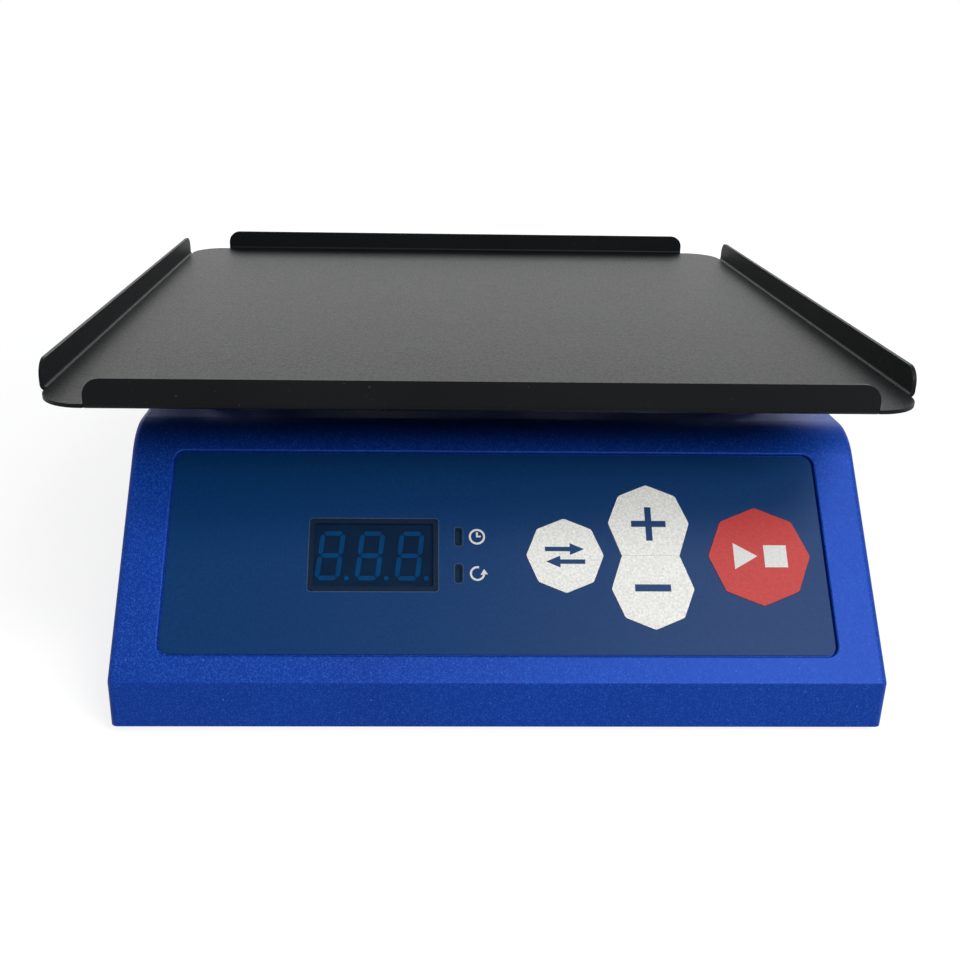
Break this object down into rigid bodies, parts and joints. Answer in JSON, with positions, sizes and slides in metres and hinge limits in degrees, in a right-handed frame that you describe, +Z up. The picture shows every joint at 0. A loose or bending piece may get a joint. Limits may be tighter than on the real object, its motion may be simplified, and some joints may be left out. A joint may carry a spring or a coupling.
{
  "type": "orbital shaker",
  "caption": "Benchtop orbital shaker: lipped square platform on eccentric bearings over a blue sloped housing with display, octagonal keys and rear power inlet.",
  "frame": {"origin": "on the bench under the middle of the housing", "axes": "+X to the right seen from the front, +Y to the back, +Z up"},
  "size_m": [0.26, 0.2651, 0.1129],
  "materials": {
    "blue_paint": "blue paint with a fine metallic sparkle",
    "zinc_steel": "zinc plated steel",
    "rubber": "matt black rubber",
    "cast_aluminium": "as cast, machined seats",
    "overlay_film": "navy printed film, satin",
    "window_tint": "dark tinted clear plastic",
    "black_plastic": "black moulded plastic",
    "display_body": "dark display face",
    "segment_tint": "unlit blue segments",
    "lamp_body": "smoked lamp",
    "circuit_board": "green solder mask",
    "dark_steel": "oiled dark steel",
    "bright_steel": "ground steel",
    "brass": "turned brass",
    "aluminium": "turned aluminium",
    "black_powder_coat": "black powder coat, fine orange peel",
    "silver_key": "silver grey printed key",
    "red_key": "red printed key"
  },
  "bodies": {
    "housing": {"housing_cover": "blue_paint", "bottom_plate": "zinc_steel", "bottom_plate_screws": "zinc_steel", "rubber_feet": "rubber", "leg_screws": "zinc_steel", "chassis_casting": "cast_aluminium", "idler_outer_rings": "bright_steel", "drive_outer_rings": "bright_steel", "control_overlay": "overlay_film", "display_window": "window_tint", "indicator_windows": "window_tint", "tact_switches": "black_plastic", "display_module": "display_body", "display_segments": "segment_tint", "indicator_lamps": "lamp_body", "display_board": "circuit_board", "display_board_screws": "zinc_steel", "motor_can": "zinc_steel", "motor_end_plate": "zinc_steel", "motor_stator": "dark_steel", "motor_screws": "zinc_steel", "drive_belt": "rubber", "control_board": "circuit_board", "control_board_standoffs": "brass", "control_board_screws": "zinc_steel", "control_board_parts": "black_plastic", "power_inlet": "black_plastic", "power_inlet_nut": "zinc_steel", "power_switch_case": "black_plastic"},
    "drive": {"drive_eccentric": "bright_steel", "drive_inner_rings": "bright_steel", "drive_clip": "dark_steel", "driven_pulley": "aluminium", "counterweight": "dark_steel"},
    "platform": {"platform_tray": "black_powder_coat", "tray_studs": "bright_steel", "tray_nuts": "zinc_steel", "carrier_spider": "cast_aluminium", "carrier_idler_rings": "bright_steel", "carrier_drive_ring": "bright_steel"},
    "idler_body_1": {"idler_1": "bright_steel", "idler_1_inner_rings": "bright_steel", "idler_1_clip": "dark_steel"},
    "idler_body_2": {"idler_2": "bright_steel", "idler_2_inner_rings": "bright_steel", "idler_2_clip": "dark_steel"},
    "idler_body_3": {"idler_3": "bright_steel", "idler_3_inner_rings": "bright_steel", "idler_3_clip": "dark_steel"},
    "idler_body_4": {"idler_4": "bright_steel", "idler_4_inner_rings": "bright_steel", "idler_4_clip": "dark_steel"},
    "motor_rotor_body": {"motor_rotor": "bright_steel", "motor_pulley": "aluminium"},
    "mode_key_body": {"mode_key": "silver_key"},
    "plus_key_body": {"plus_key": "silver_key"},
    "minus_key_body": {"minus_key": "silver_key"},
    "start_key_body": {"start_key": "red_key"},
    "power_rocker_body": {"power_rocker": "black_plastic"}
  },
  "joints": [
    {"name": "drive_spin", "type": "hinge", "parent": "housing", "child": "drive", "pos_m": [0, 0.02375, 0.084], "axis": [0, 0, 1], "continuous": true},
    {"name": "platform_turn", "type": "hinge", "parent": "drive", "child": "platform", "pos_m": [-0.00707, 0.03082, 0.095], "axis": [0, 0, 1], "continuous": true},
    {"name": "idler_1_spin", "type": "hinge", "parent": "housing", "child": "idler_body_1", "pos_m": [-0.084, -0.0365, 0.084], "axis": [0, 0, 1], "continuous": true},
    {"name": "idler_2_spin", "type": "hinge", "parent": "housing", "child": "idler_body_2", "pos_m": [0.084, -0.0365, 0.084], "axis": [0, 0, 1], "continuous": true},
    {"name": "idler_3_spin", "type": "hinge", "parent": "housing", "child": "idler_body_3", "pos_m": [-0.084, 0.084, 0.084], "axis": [0, 0, 1], "continuous": true},
    {"name": "idler_4_spin", "type": "hinge", "parent": "housing", "child": "idler_body_4", "pos_m": [0.084, 0.084, 0.084], "axis": [0, 0, 1], "continuous": true},
    {"name": "motor_spin", "type": "hinge", "parent": "housing", "child": "motor_rotor_body", "pos_m": [0, 0.091, 0.036], "axis": [0, 0, 1], "continuous": true},
    {"name": "mode_press", "type": "slide", "parent": "housing", "child": "mode_key_body", "axis": [0, 0.7337, -0.6794], "range_m": [0, 0.0004], "stiffness_N_per_m": 800},
    {"name": "plus_press", "type": "slide", "parent": "housing", "child": "plus_key_body", "axis": [0, 0.7337, -0.6794], "range_m": [0, 0.0004], "stiffness_N_per_m": 800},
    {"name": "minus_press", "type": "slide", "parent": "housing", "child": "minus_key_body", "axis": [0, 0.7337, -0.6794], "range_m": [0, 0.0004], "stiffness_N_per_m": 800},
    {"name": "start_press", "type": "slide", "parent": "housing", "child": "start_key_body", "axis": [0, 0.7337, -0.6794], "range_m": [0, 0.0004], "stiffness_N_per_m": 800},
    {"name": "power_rock", "type": "hinge", "parent": "housing", "child": "power_rocker_body", "pos_m": [0.072, 0.126, 0.042], "axis": [1, 0, 0], "range_deg": [0, 18]}
  ],
  "couplings": [
    {"joint": "platform_turn", "follows": "drive_spin", "ratio": -1},
    {"joint": "idler_1_spin", "follows": "drive_spin", "ratio": 1},
    {"joint": "idler_2_spin", "follows": "drive_spin", "ratio": 1},
    {"joint": "idler_3_spin", "follows": "drive_spin", "ratio": 1},
    {"joint": "idler_4_spin", "follows": "drive_spin", "ratio": 1},
    {"joint": "motor_spin", "follows": "drive_spin", "ratio": 4}
  ]
}
